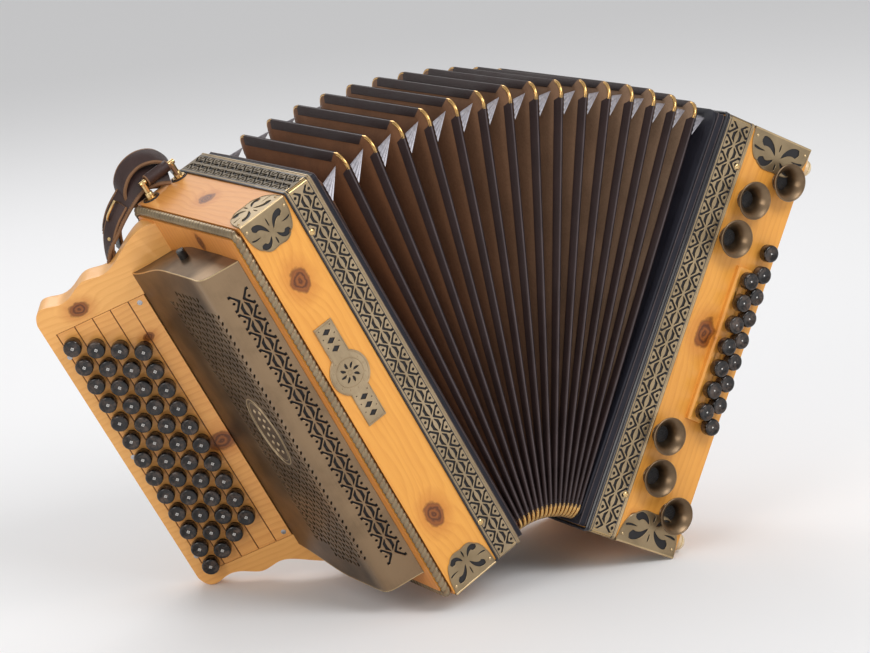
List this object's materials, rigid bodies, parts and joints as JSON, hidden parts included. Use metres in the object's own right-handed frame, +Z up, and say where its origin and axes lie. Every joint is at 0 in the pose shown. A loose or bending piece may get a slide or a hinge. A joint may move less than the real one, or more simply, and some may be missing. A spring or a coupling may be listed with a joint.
{
  "type": "button accordion",
  "caption": "Four-row diatonic button accordion fanned open: pine cases with lattice brass bands, pleated bellows, brass grille, sound horns and horn-like buttons.",
  "frame": {"origin": "middle of the instrument's box, on the surface it stands on", "axes": "+X from the treble case to the bass case, +Y to the player's side, +Z up"},
  "size_m": [0.643, 0.2642, 0.4256],
  "materials": {
    "pine": "oiled, warm amber, knotty",
    "reed_wood": "plain planed",
    "antique_brass": "patinated, brushed",
    "bright_brass": "polished",
    "bellows_card": "matt cloth over card with leather ridges",
    "frame_leather": "semi-matt black",
    "strap_leather": "waxed dark brown",
    "button_horn": "polished smoky horn",
    "foot_cream": "turned, satin",
    "knob_black": "satin black",
    "steel": "drawn"
  },
  "bodies": {
    "treble": {"treble_case": "pine", "treble_tone_board": "reed_wood", "treble_bellows_frame": "frame_leather", "treble_lattice_band": "antique_brass", "treble_rope_moulding": "antique_brass", "treble_edge_mounts": "antique_brass", "treble_name_plate": "antique_brass", "treble_reed_blocks": "reed_wood", "fingerboard": "pine", "fingerboard_slats": "pine", "lever_axle": "steel", "grille": "antique_brass", "grille_knobs": "knob_black", "strap_brackets": "bright_brass", "shoulder_strap": "strap_leather"},
    "bass": {"bass_case": "pine", "bass_bellows_frame": "frame_leather", "bass_lattice_band": "antique_brass", "bass_edge_mounts": "antique_brass", "bass_horns": "antique_brass", "bass_button_block": "pine", "bass_reed_blocks": "reed_wood", "bass_feet": "foot_cream", "hand_strap": "strap_leather"},
    "bellows_fold_01": {"bellows_fold_01": "bellows_card"},
    "bellows_fold_02": {"bellows_fold_02": "bellows_card"},
    "bellows_fold_03": {"bellows_fold_03": "bellows_card"},
    "bellows_fold_04": {"bellows_fold_04": "bellows_card"},
    "bellows_fold_05": {"bellows_fold_05": "bellows_card"},
    "bellows_fold_06": {"bellows_fold_06": "bellows_card"},
    "bellows_fold_07": {"bellows_fold_07": "bellows_card"},
    "bellows_fold_08": {"bellows_fold_08": "bellows_card"},
    "bellows_fold_09": {"bellows_fold_09": "bellows_card"},
    "bellows_fold_10": {"bellows_fold_10": "bellows_card"},
    "bellows_fold_11": {"bellows_fold_11": "bellows_card"},
    "bellows_fold_12": {"bellows_fold_12": "bellows_card"},
    "bellows_fold_13": {"bellows_fold_13": "bellows_card"},
    "bellows_fold_14": {"bellows_fold_14": "bellows_card"},
    "bellows_fold_15": {"bellows_fold_15": "bellows_card"},
    "melody_row_1": {"melody_row_1": "button_horn"},
    "melody_row_2": {"melody_row_2": "button_horn"},
    "melody_row_3": {"melody_row_3": "button_horn"},
    "melody_row_4": {"melody_row_4": "button_horn"},
    "bass_button_01": {"bass_button_01": "button_horn"},
    "bass_button_02": {"bass_button_02": "button_horn"},
    "bass_button_03": {"bass_button_03": "button_horn"},
    "bass_button_04": {"bass_button_04": "button_horn"},
    "bass_button_05": {"bass_button_05": "button_horn"},
    "bass_button_06": {"bass_button_06": "button_horn"},
    "bass_button_07": {"bass_button_07": "button_horn"},
    "bass_button_08": {"bass_button_08": "button_horn"},
    "bass_button_09": {"bass_button_09": "button_horn"},
    "bass_button_10": {"bass_button_10": "button_horn"},
    "bass_button_11": {"bass_button_11": "button_horn"},
    "bass_button_12": {"bass_button_12": "button_horn"},
    "bass_button_13": {"bass_button_13": "button_horn"},
    "bass_button_14": {"bass_button_14": "button_horn"},
    "bass_button_15": {"bass_button_15": "button_horn"},
    "bass_button_16": {"bass_button_16": "button_horn"},
    "air_button": {"air_button": "button_horn"}
  },
  "joints": [
    {"name": "bellows_01", "type": "hinge", "parent": "treble", "child": "bellows_fold_01", "pos_m": [-0.00129, -0.0191, 0.05307], "axis": [0, 1, 0], "range_deg": [-3.8, 1.22]},
    {"name": "bellows_02", "type": "hinge", "parent": "bellows_fold_01", "child": "bellows_fold_02", "pos_m": [0.0025, -0.0191, 0.05464], "axis": [0, 1, 0], "range_deg": [-3.74, 1.21]},
    {"name": "bellows_03", "type": "hinge", "parent": "bellows_fold_02", "child": "bellows_fold_03", "pos_m": [0.00632, -0.0191, 0.05593], "axis": [0, 1, 0], "range_deg": [-3.68, 1.19]},
    {"name": "bellows_04", "type": "hinge", "parent": "bellows_fold_03", "child": "bellows_fold_04", "pos_m": [0.01014, -0.0191, 0.05696], "axis": [0, 1, 0], "range_deg": [-3.62, 1.17]},
    {"name": "bellows_05", "type": "hinge", "parent": "bellows_fold_04", "child": "bellows_fold_05", "pos_m": [0.01396, -0.0191, 0.05774], "axis": [0, 1, 0], "range_deg": [-3.55, 1.15]},
    {"name": "bellows_06", "type": "hinge", "parent": "bellows_fold_05", "child": "bellows_fold_06", "pos_m": [0.01775, -0.0191, 0.05826], "axis": [0, 1, 0], "range_deg": [-3.49, 1.13]},
    {"name": "bellows_07", "type": "hinge", "parent": "bellows_fold_06", "child": "bellows_fold_07", "pos_m": [0.0215, -0.0191, 0.05854], "axis": [0, 1, 0], "range_deg": [-3.43, 1.11]},
    {"name": "bellows_08", "type": "hinge", "parent": "bellows_fold_07", "child": "bellows_fold_08", "pos_m": [0.02519, -0.0191, 0.0586], "axis": [0, 1, 0], "range_deg": [-3.37, 1.09]},
    {"name": "bellows_09", "type": "hinge", "parent": "bellows_fold_08", "child": "bellows_fold_09", "pos_m": [0.02881, -0.0191, 0.05845], "axis": [0, 1, 0], "range_deg": [-3.31, 1.07]},
    {"name": "bellows_10", "type": "hinge", "parent": "bellows_fold_09", "child": "bellows_fold_10", "pos_m": [0.03235, -0.0191, 0.05809], "axis": [0, 1, 0], "range_deg": [-3.24, 1.05]},
    {"name": "bellows_11", "type": "hinge", "parent": "bellows_fold_10", "child": "bellows_fold_11", "pos_m": [0.0358, -0.0191, 0.05754], "axis": [0, 1, 0], "range_deg": [-3.18, 1.03]},
    {"name": "bellows_12", "type": "hinge", "parent": "bellows_fold_11", "child": "bellows_fold_12", "pos_m": [0.03914, -0.0191, 0.05682], "axis": [0, 1, 0], "range_deg": [-3.12, 1.01]},
    {"name": "bellows_13", "type": "hinge", "parent": "bellows_fold_12", "child": "bellows_fold_13", "pos_m": [0.04238, -0.0191, 0.05593], "axis": [0, 1, 0], "range_deg": [-3.06, 0.99]},
    {"name": "bellows_14", "type": "hinge", "parent": "bellows_fold_13", "child": "bellows_fold_14", "pos_m": [0.04549, -0.0191, 0.05489], "axis": [0, 1, 0], "range_deg": [-3, 0.97]},
    {"name": "bellows_15", "type": "hinge", "parent": "bellows_fold_14", "child": "bellows_fold_15", "pos_m": [0.04849, -0.0191, 0.05371], "axis": [0, 1, 0], "range_deg": [-2.93, 0.95]},
    {"name": "bellows_16", "type": "hinge", "parent": "bellows_fold_15", "child": "bass", "pos_m": [0.05136, -0.0191, 0.05241], "axis": [0, 1, 0], "range_deg": [-2.87, 0.93]},
    {"name": "melody_row_1", "type": "hinge", "parent": "treble", "child": "melody_row_1", "pos_m": [-0.17485, 0.0644, 0.16662], "axis": [0.4434, 0, -0.8963], "range_deg": [0, 1.68], "stiffness_Nm_per_rad": 6, "springref_deg": -3.44},
    {"name": "melody_row_2", "type": "hinge", "parent": "treble", "child": "melody_row_2", "pos_m": [-0.17485, 0.0644, 0.16662], "axis": [0.4434, 0, -0.8963], "range_deg": [0, 2.1], "stiffness_Nm_per_rad": 6, "springref_deg": -3.44},
    {"name": "melody_row_3", "type": "hinge", "parent": "treble", "child": "melody_row_3", "pos_m": [-0.17485, 0.0644, 0.16662], "axis": [0.4434, 0, -0.8963], "range_deg": [0, 2.8], "stiffness_Nm_per_rad": 6, "springref_deg": -3.44},
    {"name": "melody_row_4", "type": "hinge", "parent": "treble", "child": "melody_row_4", "pos_m": [-0.17485, 0.0644, 0.16662], "axis": [0.4434, 0, -0.8963], "range_deg": [0, 4.21], "stiffness_Nm_per_rad": 6, "springref_deg": -3.44},
    {"name": "button_bass_01", "type": "slide", "parent": "bass", "child": "bass_button_01", "axis": [0, 1, 0], "range_m": [0, 0.0035], "stiffness_N_per_m": 150, "springref_m": -0.004},
    {"name": "button_bass_02", "type": "slide", "parent": "bass", "child": "bass_button_02", "axis": [0, 1, 0], "range_m": [0, 0.0035], "stiffness_N_per_m": 150, "springref_m": -0.004},
    {"name": "button_bass_03", "type": "slide", "parent": "bass", "child": "bass_button_03", "axis": [0, 1, 0], "range_m": [0, 0.0035], "stiffness_N_per_m": 150, "springref_m": -0.004},
    {"name": "button_bass_04", "type": "slide", "parent": "bass", "child": "bass_button_04", "axis": [0, 1, 0], "range_m": [0, 0.0035], "stiffness_N_per_m": 150, "springref_m": -0.004},
    {"name": "button_bass_05", "type": "slide", "parent": "bass", "child": "bass_button_05", "axis": [0, 1, 0], "range_m": [0, 0.0035], "stiffness_N_per_m": 150, "springref_m": -0.004},
    {"name": "button_bass_06", "type": "slide", "parent": "bass", "child": "bass_button_06", "axis": [0, 1, 0], "range_m": [0, 0.0035], "stiffness_N_per_m": 150, "springref_m": -0.004},
    {"name": "button_bass_07", "type": "slide", "parent": "bass", "child": "bass_button_07", "axis": [0, 1, 0], "range_m": [0, 0.0035], "stiffness_N_per_m": 150, "springref_m": -0.004},
    {"name": "button_bass_08", "type": "slide", "parent": "bass", "child": "bass_button_08", "axis": [0, 1, 0], "range_m": [0, 0.0035], "stiffness_N_per_m": 150, "springref_m": -0.004},
    {"name": "button_bass_09", "type": "slide", "parent": "bass", "child": "bass_button_09", "axis": [0, 1, 0], "range_m": [0, 0.0035], "stiffness_N_per_m": 150, "springref_m": -0.004},
    {"name": "button_bass_10", "type": "slide", "parent": "bass", "child": "bass_button_10", "axis": [0, 1, 0], "range_m": [0, 0.0035], "stiffness_N_per_m": 150, "springref_m": -0.004},
    {"name": "button_bass_11", "type": "slide", "parent": "bass", "child": "bass_button_11", "axis": [0, 1, 0], "range_m": [0, 0.0035], "stiffness_N_per_m": 150, "springref_m": -0.004},
    {"name": "button_bass_12", "type": "slide", "parent": "bass", "child": "bass_button_12", "axis": [0, 1, 0], "range_m": [0, 0.0035], "stiffness_N_per_m": 150, "springref_m": -0.004},
    {"name": "button_bass_13", "type": "slide", "parent": "bass", "child": "bass_button_13", "axis": [0, 1, 0], "range_m": [0, 0.0035], "stiffness_N_per_m": 150, "springref_m": -0.004},
    {"name": "button_bass_14", "type": "slide", "parent": "bass", "child": "bass_button_14", "axis": [0, 1, 0], "range_m": [0, 0.0035], "stiffness_N_per_m": 150, "springref_m": -0.004},
    {"name": "button_bass_15", "type": "slide", "parent": "bass", "child": "bass_button_15", "axis": [0, 1, 0], "range_m": [0, 0.0035], "stiffness_N_per_m": 150, "springref_m": -0.004},
    {"name": "button_bass_16", "type": "slide", "parent": "bass", "child": "bass_button_16", "axis": [0, 1, 0], "range_m": [0, 0.0035], "stiffness_N_per_m": 150, "springref_m": -0.004},
    {"name": "air_button", "type": "slide", "parent": "bass", "child": "air_button", "axis": [-0.8888, 0, 0.4583], "range_m": [0, 0.0035], "stiffness_N_per_m": 200, "springref_m": -0.005}
  ],
  "couplings": [
    {"joint": "bellows_02", "follows": "bellows_01", "ratio": 0.98363},
    {"joint": "bellows_03", "follows": "bellows_01", "ratio": 0.96727},
    {"joint": "bellows_04", "follows": "bellows_01", "ratio": 0.9509},
    {"joint": "bellows_05", "follows": "bellows_01", "ratio": 0.93453},
    {"joint": "bellows_06", "follows": "bellows_01", "ratio": 0.91817},
    {"joint": "bellows_07", "follows": "bellows_01", "ratio": 0.9018},
    {"joint": "bellows_08", "follows": "bellows_01", "ratio": 0.88543},
    {"joint": "bellows_09", "follows": "bellows_01", "ratio": 0.86907},
    {"joint": "bellows_10", "follows": "bellows_01", "ratio": 0.8527},
    {"joint": "bellows_11", "follows": "bellows_01", "ratio": 0.83633},
    {"joint": "bellows_12", "follows": "bellows_01", "ratio": 0.81997},
    {"joint": "bellows_13", "follows": "bellows_01", "ratio": 0.8036},
    {"joint": "bellows_14", "follows": "bellows_01", "ratio": 0.78723},
    {"joint": "bellows_15", "follows": "bellows_01", "ratio": 0.77087},
    {"joint": "bellows_16", "follows": "bellows_01", "ratio": 0.7545}
  ]
}
